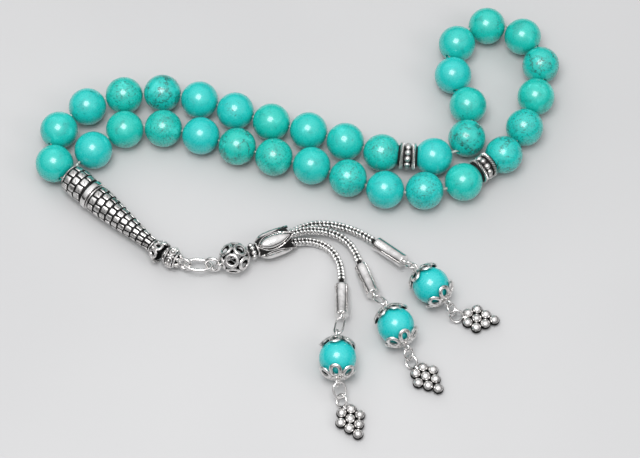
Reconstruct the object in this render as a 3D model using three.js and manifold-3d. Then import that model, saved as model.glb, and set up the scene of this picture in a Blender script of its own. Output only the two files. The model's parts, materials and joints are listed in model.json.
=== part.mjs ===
// Misbaha prayer beads: thirty-three round turquoise beads on a knotted string, two granulated
// spacers, a silver imame and a tassel of three woven chains with bead drops and grape charms.
// Millimetres, +Z up. The strand lies on the plane z = 0, centred on its own bounding box.
import * as THREE from 'three';
import { mergeVertices } from 'three/addons/utils/BufferGeometryUtils.js';
import Module from 'manifold-3d';

// ---- driving dimensions -----------------------------------------------------------------------
const BEAD = { radius: 5, bore: 0.8, countersink: 1.65, boreHalf: 3.1, count: 33, gap: 0.3 };
const SPACER = { radius: 3.5, body: 3, width: 4.6, dish: 3.1, after: [11, 22], step: 6.86 };
// Spare thread that shows after some of the beads.
const SLACK = { 12: 0.35, 23: 0.4 };
const STRING = { radius: 0.35, sides: 8, knot: 1.1, straight: 3.2 };
const IMAME = { mouth: [-60.9, 10.5, 4.5], yaw: -41.8, pitch: -2.3, pivot: 33 };
const FINIAL = { yaw: -28, pitch: -2, knob: 2.35, knobAt: 3.7, stem: 0.6, eyeAt: 7.4 };
const EYE = { radius: 1.45, wire: 0.47, roll: 62 };
const OVAL_LINK = { width: 3.6, wire: 0.46, roll: -12 };
const ROUND_LINK = { radius: 1.9, wire: 0.45, yaw: -3, pitch: 25, roll: 66 };
const LINK_GAP = 0.55;
const CAP = { centre: [-17, -13.8, 4.2], yaw: 24.4, pitch: -3, mouth: 15.4, floor: 14.4, bore: 2.95 };
const PIN_LOOP = { radius: 1, wire: 0.3, at: -4.2, roll: 48 };
const BALL = { radius: 3.75, wire: 0.36, ring: 29 };
const DAISY = { at: 5, radius: 1.65, granule: 0.68, count: 8 };
const CHAIN = { radius: 1.1, sides: 8, steps: 22 };
const END_TUBE = { radius: 1.85, length: 9.2, pitch: 9, gap: 0.35, neck: 0.4 };
const TUBE_EYE = { width: 2.3, wire: 0.3 };
const DROP = { bead: 4.7, inner: 5.15, outer: 5.65, rim: 60, hub: 1.2, pin: 0.35, pitch: -8, loopAt: 6.4 };
const DROP_LOOP = { radius: 0.92, wire: 0.3 };
const JUMP_RING = { width: 3.2, wire: 0.3 };
const RING_GAP = 0.32;
const CHARM = { granule: 1.38, height: 1.2, spacing: 2.6, rows: [2, 3, 2, 1], firstRow: 3 };
const CHARM_RING = { radius: 1.58, wire: 0.34 };

// The string's way round the strand, from the imame's mouth and back to it, as x and y.
const STRAND_ROUTE = [
  [-60.9, 10.5], [-64.9, 13.6], [-64.4, 24.4], [-57.4, 31.6], [-47.6, 35.2], [-37.2, 35.9],
  [-27, 33.7], [-17.4, 30.2], [-8.3, 26.9], [1.8, 24.1], [11.5, 20.8], [20.8, 17.4], [28, 16.2],
  [34.6, 15.9], [43.9, 21.3], [44.8, 32], [41.1, 41.6], [42.6, 52], [50.9, 57.8], [60.4, 54.4],
  [64.9, 45.9], [63.3, 35.2], [59.7, 25.2], [53.6, 16.5], [48.2, 12.6], [42.4, 8.1], [32, 5.6],
  [21.4, 6.1], [11.6, 9.8], [2.1, 13.5], [-7.4, 16], [-16.9, 19.2], [-26.6, 22.5], [-36.7, 24.8],
  [-46.9, 24.5], [-55.1, 17.9], [-60.9, 10.5],
];

// Each tassel's chain from the cap's mouth to its end tube, and where its drop and charm lie.
const TASSELS = [
  {
    chain: [
      [-3.1, -8.95, 2.75], [-1.8, -8.4, 2.6], [0.8, -7.9, 2.1], [3.6, -7.9, 1.6], [6.3, -8.9, 1.3],
      [8.5, -10.9, 1.2], [9.9, -13.7, 1.2], [10.5, -16.8, 1.5], [10.6, -20.6, 2.1],
    ],
    tubeYaw: -90.5, bead: [9.5, -42.7, 5.25], dropYaw: -90, roll: 20,
    charm: [10.4, -52.8, 1.75], charmYaw: -65.5, ringRoll: 45, jumpRoll: -10,
  },
  {
    chain: [
      [-3.5, -7.7, 4.95], [-2.2, -7.1, 4.85], [0.8, -5.9, 4.2], [4, -5.4, 3.5], [7.2, -5.6, 2.8],
      [10.2, -6.6, 2.2], [12.6, -8.6, 1.8], [14.2, -11.2, 1.7], [15.6, -15, 2],
    ],
    tubeYaw: -70.5, bead: [24.2, -33.7, 5.25], dropYaw: -65, roll: -20,
    charm: [28, -42.2, 1.85], charmYaw: -47, ringRoll: 45, jumpRoll: -35,
  },
  {
    chain: [
      [-4.2, -6.5, 2.75], [-2.9, -5.9, 2.6], [0.2, -4.1, 2.2], [3.6, -2.9, 1.9], [8, -2.8, 1.6],
      [12.4, -3.9, 1.5], [16, -5.7, 1.7], [19.6, -8.3, 2.1],
    ],
    tubeYaw: -41, bead: [33.4, -22.3, 5.25], dropYaw: -48, roll: -20,
    charm: [39.8, -29.4, 1.85], charmYaw: -5, ringRoll: 45, jumpRoll: -35,
  },
];

// ---- finishes ---------------------------------------------------------------------------------
const TURQUOISE = new THREE.MeshStandardMaterial({ color: 0x1fb5a8, roughness: 0.22, metalness: 0 });
const SILVER = new THREE.MeshStandardMaterial({ color: 0xd9dadb, roughness: 0.28, metalness: 1 });
const DARK_SILVER = new THREE.MeshStandardMaterial({ color: 0x9b9b9d, roughness: 0.4, metalness: 1 });
const CORD_WHITE = new THREE.MeshStandardMaterial({ color: 0xd8dfd8, roughness: 0.7, metalness: 0 });

// ---- helpers ----------------------------------------------------------------------------------
const wasm = await Module();
wasm.setup();
const { degToRad } = THREE.MathUtils;
const vector = (place) => new THREE.Vector3(...place);

/** Shared vertices are merged and the flat triangles at a lathe's poles dropped. */
function welded(geometry) {
  const bare = geometry.clone();
  bare.deleteAttribute('normal');
  bare.deleteAttribute('uv');
  const merged = mergeVertices(bare, 1e-4);
  const index = merged.index.array;
  const kept = [];
  for (let i = 0; i < index.length; i += 3) {
    const [a, b, c] = index.slice(i, i + 3);
    if (a !== b && b !== c && c !== a) kept.push(a, b, c);
  }
  merged.setIndex(kept);
  return merged;
}

function solid(geometry) {
  const { attributes, index } = welded(geometry);
  return new wasm.Manifold(new wasm.Mesh({
    numProp: 3,
    vertProperties: new Float32Array(attributes.position.array),
    triVerts: new Uint32Array(index.array),
  }));
}

function geometryOf(body) {
  const mesh = body.getMesh();
  const geometry = new THREE.BufferGeometry();
  geometry.setAttribute('position', new THREE.BufferAttribute(mesh.vertProperties, 3));
  geometry.setIndex(new THREE.BufferAttribute(mesh.triVerts, 1));
  geometry.computeVertexNormals();
  return geometry;
}

/** Joins overlapping closed geometries into one closed geometry. */
const joined = (geometries) => geometryOf(geometries.map(solid).reduce((a, b) => a.add(b)));

/** Turns an outline of [along, radius] points about the X axis. */
function turned(outline, segments) {
  const profile = outline.map(([along, radius]) => new THREE.Vector2(radius, along));
  return new THREE.LatheGeometry(profile, segments).rotateZ(-Math.PI / 2);
}

/** A round wire ring in the XY plane, centred at x = along. */
const ring = (radius, wire, along = 0, sides = 5, steps = 12) =>
  new THREE.TorusGeometry(radius, wire, sides, steps).translate(along, 0, 0);

/** A ring drawn out along X: two half rounds with straight sides between them. */
function ovalRing(length, width, wire) {
  const geometry = new THREE.TorusGeometry(width / 2, wire, 6, 14);
  const place = geometry.attributes.position;
  for (let i = 0; i < place.count; i += 1) {
    const x = place.getX(i);
    place.setX(i, x + Math.sign(x) * (length - width) / 2);
  }
  return geometry;
}

/** Points an object's +X along a yaw and a pitch in degrees, then rolls it about that axis. */
function aimed(object, place, yaw, pitch = 0, roll = 0) {
  object.position.set(...place);
  object.rotation.set(degToRad(roll), degToRad(-pitch), degToRad(yaw), 'ZYX');
  object.updateMatrixWorld();
  return object;
}

/** The yaw, pitch and length of the line from one point to another. */
function bearing(from, to) {
  const line = to.clone().sub(from);
  const flat = Math.hypot(line.x, line.y);
  const { radToDeg } = THREE.MathUtils;
  return {
    yaw: radToDeg(Math.atan2(line.y, line.x)),
    pitch: radToDeg(Math.atan2(line.z, flat)),
    length: line.length(),
  };
}

function named(name, geometry, material) {
  const mesh = new THREE.Mesh(geometry, material);
  mesh.name = name;
  return mesh;
}

/** A path through given corners, so that a swept tube has its rings exactly there. */
class CornerPath extends THREE.Curve {
  constructor(corners) {
    super();
    this.corners = corners;
  }

  getPoint(t) {
    const at = t * (this.corners.length - 1);
    const i = Math.min(Math.floor(at), this.corners.length - 2);
    return this.corners[i].clone().lerp(this.corners[i + 1], at - i);
  }

  getPointAt(u) {
    return this.getPoint(u);
  }

  getTangentAt(u) {
    const half = 0.5 / (this.corners.length - 1);
    const ahead = this.getPoint(Math.min(u + half, 1));
    return ahead.sub(this.getPoint(Math.max(u - half, 0))).normalize();
  }
}

function swept(path, radius, sides, steps) {
  const section = new THREE.Shape();
  for (let i = 0; i < sides; i += 1) {
    const angle = (i + 0.5) / sides * 2 * Math.PI;
    section[i ? 'lineTo' : 'moveTo'](radius * Math.cos(angle), radius * Math.sin(angle));
  }
  section.closePath();
  return new THREE.ExtrudeGeometry(section, { steps, extrudePath: path, bevelEnabled: false });
}

// ---- the strand -------------------------------------------------------------------------------
/** Centres and string directions of the beads and spacers, walked along the route. */
function strandStations() {
  const route = new THREE.CatmullRomCurve3(
    STRAND_ROUTE.map(([x, y]) => new THREE.Vector3(x, y, BEAD.radius)), false, 'centripetal');
  const stations = [];
  const pitch = 2 * BEAD.radius + BEAD.gap;
  let from = route.getPointAt(0);
  let reach = 5.35;
  let u = 0;
  const advance = (name, kind) => {
    while (route.getPointAt(u).distanceTo(from) < reach) u += 0.00005;
    from = route.getPointAt(u);
    stations.push({ name, kind, centre: from });
  };
  for (let i = 1; i <= BEAD.count; i += 1) {
    advance(`bead_${String(i).padStart(2, '0')}`, 'bead');
    const spacer = SPACER.after.indexOf(i);
    reach = spacer < 0 ? pitch + (SLACK[i] ?? 0) : SPACER.step;
    if (spacer >= 0) advance(`spacer_${spacer + 1}`, 'spacer');
  }
  const mouth = new THREE.Vector3(IMAME.mouth[0], IMAME.mouth[1], BEAD.radius);
  stations.forEach((station, i) => {
    const before = i ? stations[i - 1].centre : mouth;
    const after = i < stations.length - 1 ? stations[i + 1].centre : mouth;
    const inward = station.centre.clone().sub(before).normalize();
    const outward = after.clone().sub(station.centre).normalize();
    station.along = inward.add(outward).normalize();
  });
  return stations;
}

/** A drilled ball whose string hole is countersunk at both ends. */
function drilledBead(radius) {
  const mouthAngle = Math.asin(BEAD.countersink / radius);
  const boreHalf = BEAD.boreHalf * radius / BEAD.radius;
  const outline = [[-boreHalf, BEAD.bore]];
  const steps = 6;
  for (let i = 0; i <= steps; i += 1) {
    const angle = Math.PI - mouthAngle - i / steps * (Math.PI - 2 * mouthAngle);
    outline.push([radius * Math.cos(angle), radius * Math.sin(angle)]);
  }
  outline.push([boreHalf, BEAD.bore], [-boreHalf, BEAD.bore]);
  return turned(outline, 10);
}

/** A ring between two beads: a granulated waist between raised rope rims, dished over the beads. */
function spacerRing() {
  const half = SPACER.width / 2;
  return turned([
    [-1.35, 0.95], [-half, SPACER.dish], [-half + 0.3, SPACER.radius], [-half + 1, SPACER.radius],
    [-0.9, SPACER.body], [0, SPACER.radius - 0.1], [0.9, SPACER.body], [half - 1, SPACER.radius],
    [half - 0.3, SPACER.radius], [half, SPACER.dish], [1.35, 0.95], [-1.35, 0.95],
  ], 12);
}

/** The string: straight through every hole, over the imame's rim and down to its knot. */
function stringLoop(stations, imame) {
  const inImame = (along, side) => imame.localToWorld(new THREE.Vector3(along, side, 0));
  const lifted = (along, side, z) => inImame(along, side).setZ(z);
  const knot = inImame(5, 0);
  const corners = [inImame(5, -0.5), inImame(2.7, -0.62), lifted(0.9, -1.55, 4.7)];
  for (const { centre, along, kind } of stations) {
    const straight = kind === 'bead' ? STRING.straight : 0.9;
    corners.push(centre.clone().addScaledVector(along, -straight));
    corners.push(centre.clone().addScaledVector(along, straight));
  }
  corners.push(lifted(-0.75, 3.75, 5), lifted(-0.1, 2.4, 4.9), lifted(1.3, 1.25, 4.6));
  corners.push(inImame(2.8, 0.62), inImame(5, 0.5));
  const tube = swept(new CornerPath(corners), STRING.radius, STRING.sides, corners.length - 1);
  return joined([tube, new THREE.SphereGeometry(STRING.knot, 8, 5).translate(...knot.toArray())]);
}

// ---- the imame --------------------------------------------------------------------------------
/** Barrel head, plain collar, tapered shaft and open flower, turned in one piece. */
function imameBody() {
  return turned([
    [6.4, 0], [6.4, 1.5], [2.5, 1.5], [0, 3.1], [0, 3.4], [1.2, 3.78], [3.7, 3.9], [6.3, 3.78],
    [7.4, 3.45], [7.6, 3.45], [7.75, 4.1], [9.15, 4.1], [9.3, 3.5], [9.8, 3.75], [20, 2.95],
    [30.6, 1.95], [31, 1.85], [33.4, 3.05], [34.1, 3], [32, 1.3], [31.8, 0],
  ], 12);
}

/** Knob on a short stem that sits loose in the flower, with the eye that carries the links. */
function imameFinial() {
  const { knob, knobAt, stem, eyeAt } = FINIAL;
  const ball = new THREE.SphereGeometry(knob, 10, 7).rotateZ(-Math.PI / 2).translate(knobAt, 0, 0);
  const shank = turned([[-0.6, 0], [-0.6, stem], [knobAt, stem], [knobAt, 0]], 8);
  const eye = ring(EYE.radius, EYE.wire, 0, 6, 12).rotateX(degToRad(EYE.roll))
    .translate(eyeAt, 0, 0);
  return joined([ball, shank, eye]);
}

// ---- the links and the tassel's head ----------------------------------------------------------
/** Twelve wire rings on the faces of a dodecahedron, joined where they touch. */
function openworkBall() {
  const { radius, wire } = BALL;
  const tilt = degToRad(BALL.ring);
  const facing = (polar, turn) => ring(radius * Math.sin(tilt), wire, 0, 3, 8)
    .translate(0, 0, radius * Math.cos(tilt)).rotateY(Math.PI / 2)
    .rotateZ(polar).rotateX(turn);
  const belt = Math.atan(2);
  const rings = [facing(0, 0), facing(Math.PI, 0)];
  for (let i = 0; i < 5; i += 1) {
    rings.push(facing(belt, i * 2 * Math.PI / 5), facing(Math.PI - belt, (i + 0.5) * 2 * Math.PI / 5));
  }
  return joined(rings);
}

/** Looped pin, granule collar and bud-shaped cap that grips the three chains. */
function tasselCap() {
  const { mouth, floor, bore } = CAP;
  const bud = turned([
    [6.1, 0], [6.1, 1.7], [7, 2.7], [9, 3.35], [12.5, 3.4], [mouth, 3.35], [mouth, bore],
    [floor, bore], [floor, 0],
  ], 16);
  const pin = turned([[PIN_LOOP.at + 0.95, 0], [PIN_LOOP.at + 0.95, 0.3], [6.5, 0.3], [6.5, 0]], 8);
  const loop = ring(PIN_LOOP.radius, PIN_LOOP.wire, 0, 5, 12)
    .rotateX(Math.PI / 2 + degToRad(PIN_LOOP.roll)).translate(PIN_LOOP.at, 0, 0);
  const pieces = [bud, pin, loop, turned([[4.4, 0], [4.4, 1.5], [6.3, 1.5], [6.3, 0]], 8)];
  for (let i = 0; i < DAISY.count; i += 1) {
    pieces.push(new THREE.SphereGeometry(DAISY.granule, 6, 4)
      .translate(DAISY.at, 0, DAISY.radius).rotateX(i * 2 * Math.PI / DAISY.count));
  }
  return joined(pieces);
}

// ---- one tassel -------------------------------------------------------------------------------
/** Plain tube with a long soldered eye that reaches the drop's upper loop. */
function endTube(frame, upperLoop, roll) {
  const { radius, length, neck } = END_TUBE;
  const tube = turned([
    [0, 0], [0, radius], [length, radius], [length, neck], [length + 1, neck], [length + 1, 0],
  ], 10).applyMatrix4(frame.matrixWorld);
  const root = frame.localToWorld(new THREE.Vector3(length + 0.7, 0, 0));
  const reach = bearing(root, upperLoop);
  const eye = ovalRing(reach.length, TUBE_EYE.width, TUBE_EYE.wire);
  const eyeFrame = aimed(new THREE.Group(), root.lerp(upperLoop, 0.5).toArray(),
    reach.yaw, reach.pitch, roll);
  return joined([tube, eye.applyMatrix4(eyeFrame.matrixWorld)]);
}

/** Pin with a loop at each end and a petalled cap over each side of the bead. */
function dropSetting() {
  const { inner, outer, rim, hub, pin, loopAt } = DROP;
  const dome = [[outer, 0], [outer, hub]];
  const onDome = (radius, angle) => [radius * Math.cos(angle), radius * Math.sin(angle)];
  const steps = 2;
  const start = Math.asin(hub / outer);
  for (let i = 1; i <= steps; i += 1) {
    dome.push(onDome(outer, start + i / steps * (degToRad(rim) - start)));
  }
  for (let i = steps; i >= 0; i -= 1) {
    dome.push(onDome(inner, i / steps * degToRad(rim)));
  }
  const cap = turned(dome.reverse(), 10);
  const shaft = turned([
    [-loopAt + 0.9, 0], [-loopAt + 0.9, pin], [loopAt - 0.9, pin], [loopAt - 0.9, 0],
  ], 8);
  const loop = (along) => ring(DROP_LOOP.radius, DROP_LOOP.wire, 0, 4, 10)
    .rotateX(Math.PI / 2).translate(along, 0, 0);
  return joined([cap, cap.clone().rotateY(Math.PI), shaft, loop(-loopAt), loop(loopAt)]);
}

/** A ball with a flat back that far below its middle, standing along Z. */
function domedGranule(radius, back) {
  const outline = [[-back, 0], [-back, 0.7], [0, radius], [0.95, 1], [radius, 0]];
  return turned(outline, 6).rotateY(-Math.PI / 2).rotateZ(Math.PI / 6);
}

/** Grape charm: flat-backed granules in rows of two, three, two and one, under a small ring. */
function grapeCharm(ringRoll, ringHeight) {
  const { granule, height, spacing, rows, firstRow } = CHARM;
  const { radius, wire } = CHARM_RING;
  const level = height - ringHeight;
  const neck = turned([[radius - 0.2, 0], [radius - 0.2, 0.5], [firstRow, 0.5], [firstRow, 0]], 6);
  const pieces = [
    ring(radius, wire, 0, 4, 10).rotateX(degToRad(ringRoll)), neck.translate(0, 0, level / 2),
  ];
  rows.forEach((count, row) => {
    for (let i = 0; i < count; i += 1) {
      pieces.push(domedGranule(granule, height).translate(
        firstRow + row * spacing * Math.sqrt(0.75), (i - (count - 1) / 2) * spacing, level));
    }
  });
  return joined(pieces);
}

function tassel(number, plan, group) {
  const route = new THREE.CatmullRomCurve3(plan.chain.map(vector), false, 'centripetal');
  const chain = swept(route, CHAIN.radius, CHAIN.sides, CHAIN.steps);
  group.add(named(`chain_${number}`, chain, SILVER));

  const drop = aimed(new THREE.Group(), plan.bead, plan.dropYaw, DROP.pitch, plan.roll);
  const upperLoop = drop.localToWorld(new THREE.Vector3(-DROP.loopAt, 0, 0));
  const lowerLoop = drop.localToWorld(new THREE.Vector3(DROP.loopAt, 0, 0));
  drop.add(named(`drop_setting_${number}`, dropSetting(), SILVER));
  drop.add(named(`drop_bead_${number}`, drilledBead(DROP.bead), TURQUOISE));

  const frame = aimed(new THREE.Group(), plan.chain.at(-1), plan.tubeYaw, END_TUBE.pitch);
  frame.translateX(END_TUBE.gap).updateMatrixWorld();
  const tube = named(`end_tube_${number}`, endTube(frame, upperLoop, plan.roll), SILVER);

  const charm = named(`grape_charm_${number}`,
    grapeCharm(plan.ringRoll, plan.charm[2]), DARK_SILVER);
  aimed(charm, plan.charm, plan.charmYaw);
  const ringFrame = aimed(new THREE.Group(), plan.charm, plan.charmYaw, 0, plan.ringRoll);
  const held = CHARM_RING.radius - CHARM_RING.wire - JUMP_RING.wire - RING_GAP;
  const grip = ringFrame.worldToLocal(lowerLoop.clone()).setZ(0).setLength(held);
  const jump = bearing(lowerLoop, ringFrame.localToWorld(grip));
  const jumpRing = named(`jump_ring_${number}`,
    ovalRing(jump.length, JUMP_RING.width, JUMP_RING.wire), SILVER);
  const middle = lowerLoop.clone().lerp(grip, 0.5).toArray();
  aimed(jumpRing, middle, jump.yaw, jump.pitch, plan.jumpRoll);
  group.add(tube, drop, jumpRing, charm);
}

// ---- assembly ---------------------------------------------------------------------------------
const misbaha = new THREE.Group();
const imame = aimed(new THREE.Group(), IMAME.mouth, IMAME.yaw, IMAME.pitch);
imame.add(named('imame_body', imameBody(), DARK_SILVER));
misbaha.add(imame);

const stations = strandStations();
const beadShape = drilledBead(BEAD.radius);
for (const { name, kind, centre, along } of stations) {
  const piece = kind === 'bead'
    ? named(name, beadShape, TURQUOISE)
    : named(name, spacerRing(), DARK_SILVER);
  misbaha.add(aimed(piece, centre.toArray(), bearing(new THREE.Vector3(), along).yaw, 0));
}
misbaha.add(named('string', stringLoop(stations, imame), CORD_WHITE));

const pivot = imame.localToWorld(new THREE.Vector3(IMAME.pivot, 0, 0));
const finial = aimed(new THREE.Group(), pivot.toArray(), FINIAL.yaw, FINIAL.pitch);
finial.add(named('imame_finial', imameFinial(), DARK_SILVER));
misbaha.add(finial);

const cap = aimed(new THREE.Group(), CAP.centre, CAP.yaw, CAP.pitch);
cap.add(named('openwork_ball', openworkBall(), SILVER));
cap.add(named('tassel_cap', tasselCap(), DARK_SILVER));
misbaha.add(cap);

const pinLoop = cap.localToWorld(new THREE.Vector3(PIN_LOOP.at, 0, 0));
const roundFrame = aimed(new THREE.Group(), pinLoop.toArray(), ROUND_LINK.yaw, ROUND_LINK.pitch);
const roundCentre = roundFrame.localToWorld(new THREE.Vector3(-ROUND_LINK.radius, 0, 0));
const roundFar = roundFrame.localToWorld(new THREE.Vector3(-2 * ROUND_LINK.radius, 0, 0));
const roundLink = named('link_round', ring(ROUND_LINK.radius, ROUND_LINK.wire, 0, 6, 16), SILVER);
misbaha.add(aimed(roundLink, roundCentre.toArray(), ROUND_LINK.yaw, ROUND_LINK.pitch,
  ROUND_LINK.roll));

const eyeCentre = finial.localToWorld(new THREE.Vector3(FINIAL.eyeAt, 0, 0));
const inset = OVAL_LINK.wire + ROUND_LINK.wire + LINK_GAP;
const approach = roundFar.clone().sub(eyeCentre).normalize();
const ovalEnd = roundFar.clone().addScaledVector(approach, inset);
const oval = bearing(eyeCentre, ovalEnd);
const ovalLink = named('link_oval', ovalRing(oval.length, OVAL_LINK.width, OVAL_LINK.wire), SILVER);
misbaha.add(aimed(ovalLink, eyeCentre.clone().lerp(ovalEnd, 0.5).toArray(), oval.yaw, oval.pitch,
  OVAL_LINK.roll));

TASSELS.forEach((plan, i) => tassel(i + 1, plan, misbaha));

export default misbaha;
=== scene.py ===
"""Misbaha prayer beads: a turquoise strand, its silver imame and a tassel of three bead drops.

Every piece is modelled in millimetres along its own X axis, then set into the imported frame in
metres. The places of the beads and of the swinging pieces come from the frame's own joints.
"""

from __future__ import annotations

import json
import logging
import math
import random
from dataclasses import dataclass, field
from enum import Enum
from typing import Callable, Iterable, Sequence

import bmesh
import bpy
from mathutils import Matrix, Vector

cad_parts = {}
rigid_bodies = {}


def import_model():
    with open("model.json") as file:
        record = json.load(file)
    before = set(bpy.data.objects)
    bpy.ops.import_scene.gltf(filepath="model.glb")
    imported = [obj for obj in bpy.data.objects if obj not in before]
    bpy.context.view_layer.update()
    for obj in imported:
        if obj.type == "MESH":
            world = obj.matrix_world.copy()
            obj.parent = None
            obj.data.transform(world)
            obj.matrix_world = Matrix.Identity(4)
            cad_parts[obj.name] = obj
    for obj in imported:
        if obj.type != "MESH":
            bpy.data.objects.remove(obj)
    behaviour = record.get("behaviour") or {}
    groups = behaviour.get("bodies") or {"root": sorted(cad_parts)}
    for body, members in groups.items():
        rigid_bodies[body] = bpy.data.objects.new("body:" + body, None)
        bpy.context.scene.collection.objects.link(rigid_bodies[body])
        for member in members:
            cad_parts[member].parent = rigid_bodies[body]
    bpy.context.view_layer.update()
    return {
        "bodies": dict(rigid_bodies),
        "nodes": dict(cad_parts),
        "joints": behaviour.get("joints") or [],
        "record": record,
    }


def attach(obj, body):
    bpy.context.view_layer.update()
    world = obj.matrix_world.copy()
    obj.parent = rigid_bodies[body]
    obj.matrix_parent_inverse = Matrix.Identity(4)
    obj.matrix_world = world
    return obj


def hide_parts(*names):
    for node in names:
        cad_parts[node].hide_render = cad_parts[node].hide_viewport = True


LOG = logging.getLogger("misbaha")
MM = 0.001
TURN = 2 * math.pi

Colour = tuple[float, float, float, float]
Outline = Sequence[tuple[float, float]]
# Gives a point's darkening, from 0 to 1: patina in hollows and painted shade.
PatinaAndShade = Callable[[Vector], float]


# ---- finishes ---------------------------------------------------------------------------------
class NodeBoard:
    """The node tree of one material, with its principled shader already in place."""

    def __init__(self, material: bpy.types.Material) -> None:
        """Clears the tree and sets the shader and its output down.

        Args:
            material: The material whose nodes are to be laid out.
        """
        material.use_nodes = True
        self.tree = material.node_tree
        self.tree.nodes.clear()
        output = self.tree.nodes.new("ShaderNodeOutputMaterial")
        self.shader = self.tree.nodes.new("ShaderNodeBsdfPrincipled")
        self.link(self.shader.outputs["BSDF"], output.inputs["Surface"])
        position = self.tree.nodes.new("ShaderNodeTexCoord")
        scale = self.add("ShaderNodeMapping", Scale=(1000.0, 1000.0, 1000.0))
        self.link(position.outputs["Object"], scale.inputs["Vector"])
        self.millimetres = scale.outputs["Vector"]

    def add(self, kind: str, **values: object) -> bpy.types.Node:
        """Adds a node and sets its properties and its input sockets by name.

        Args:
            kind: The type of node.
            **values: Properties or sockets; a blank in a socket's name is written as "_".

        Returns:
            The new node.
        """
        node = self.tree.nodes.new(kind)
        for key, value in values.items():
            if hasattr(node, key):
                setattr(node, key, value)
            else:
                node.inputs[key.replace("_", " ")].default_value = value
        return node

    def link(self, source: bpy.types.NodeSocket, target: bpy.types.NodeSocket) -> None:
        """Joins an output socket to an input socket."""
        self.tree.links.new(source, target)

    def noise(self, scale: float, detail: float = 3.0, roughness: float = 0.5,
              distortion: float = 0.0) -> bpy.types.NodeSocket:
        """Adds a noise whose scale is in cells per millimetre.

        Args:
            scale: Cells per millimetre.
            detail: Number of octaves.
            roughness: Strength of the finer octaves.
            distortion: How far the noise is pulled about.

        Returns:
            The noise's value.
        """
        node = self.add("ShaderNodeTexNoise", Scale=scale, Detail=detail, Roughness=roughness,
                        Distortion=distortion)
        self.link(self.millimetres, node.inputs["Vector"])
        return node.outputs["Fac"]

    def ramp(self, source: bpy.types.NodeSocket, stops: Sequence[tuple[float, Colour]]
             ) -> bpy.types.NodeSocket:
        """Adds a colour ramp.

        Args:
            source: The value that drives the ramp.
            stops: Positions and colours, in order.

        Returns:
            The ramp's colour output.
        """
        node = self.tree.nodes.new("ShaderNodeValToRGB")
        elements = node.color_ramp.elements
        while len(elements) < len(stops):
            elements.new(0.5)
        for element, (place, colour) in zip(elements, stops):
            element.position = place
            element.color = colour
        self.link(source, node.inputs["Fac"])
        return node.outputs["Color"]

    def span(self, source: bpy.types.NodeSocket, low: float, high: float, start: float = 0.0,
             end: float = 1.0) -> bpy.types.NodeSocket:
        """Maps a value smoothly from one range to another.

        Args:
            source: The value.
            low: Value that gives start.
            high: Value that gives end.
            start: Result at low.
            end: Result at high.

        Returns:
            The mapped value.
        """
        node = self.add("ShaderNodeMapRange", interpolation_type="SMOOTHSTEP")
        for socket, value in zip(list(node.inputs)[1:5], (low, high, start, end)):
            socket.default_value = value
        self.link(source, node.inputs["Value"])
        return node.outputs["Result"]

    def arithmetic(self, operation: str, *terms: bpy.types.NodeSocket | float
                   ) -> bpy.types.NodeSocket:
        """Works out one step of arithmetic.

        Args:
            operation: The step's name.
            *terms: Its sockets and fixed numbers, in order.

        Returns:
            The result.
        """
        node = self.add("ShaderNodeMath", operation=operation)
        for socket, term in zip(node.inputs, terms):
            if isinstance(term, float):
                socket.default_value = term
            else:
                self.link(term, socket)
        return node.outputs["Value"]

    def mixed(self, amount: bpy.types.NodeSocket, first: bpy.types.NodeSocket | Colour,
              second: bpy.types.NodeSocket | Colour) -> bpy.types.NodeSocket:
        """Mixes two colours.

        Args:
            amount: 0 gives the first colour and 1 the second.
            first: A colour or a socket.
            second: A colour or a socket.

        Returns:
            The mixed colour.
        """
        node = self.add("ShaderNodeMix", data_type="RGBA")
        self.link(amount, node.inputs["Factor"])
        for socket, value in ((node.inputs["A"], first), (node.inputs["B"], second)):
            colour_socket = next(s for s in node.inputs
                                 if s.name == socket.name and s.type == "RGBA")
            if isinstance(value, tuple):
                colour_socket.default_value = value
            else:
                self.link(value, colour_socket)
        return next(s for s in node.outputs if s.type == "RGBA")

    def attribute(self, name: str) -> bpy.types.NodeSocket:
        """Reads one of the piece's own values."""
        return self.add("ShaderNodeAttribute", attribute_name=name).outputs["Fac"]

    def bump(self, height: bpy.types.NodeSocket, strength: float, depth_mm: float,
             below: bpy.types.NodeSocket | None = None) -> bpy.types.NodeSocket:
        """Adds a bump.

        Args:
            height: The height that drives it.
            strength: How strongly it shows.
            depth_mm: Its real depth.
            below: The normal of a bump that this one lies on.

        Returns:
            The bent normal.
        """
        node = self.add("ShaderNodeBump", Strength=strength, Distance=depth_mm * MM)
        self.link(height, node.inputs["Height"])
        if below is not None:
            self.link(below, node.inputs["Normal"])
        return node.outputs["Normal"]


@dataclass(frozen=True)
class Finish:
    """A surface finish, made into a material once and shared by every piece that has it."""

    name: str

    def material(self) -> bpy.types.Material:
        """Returns the finish's material, made on first use."""
        found = bpy.data.materials.get(self.name)
        if found is None:
            found = bpy.data.materials.new(self.name)
            self.paint(NodeBoard(found))
        return found

    def paint(self, board: NodeBoard) -> None:
        """Lays out the finish's nodes on a material's board."""
        raise NotImplementedError


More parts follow.
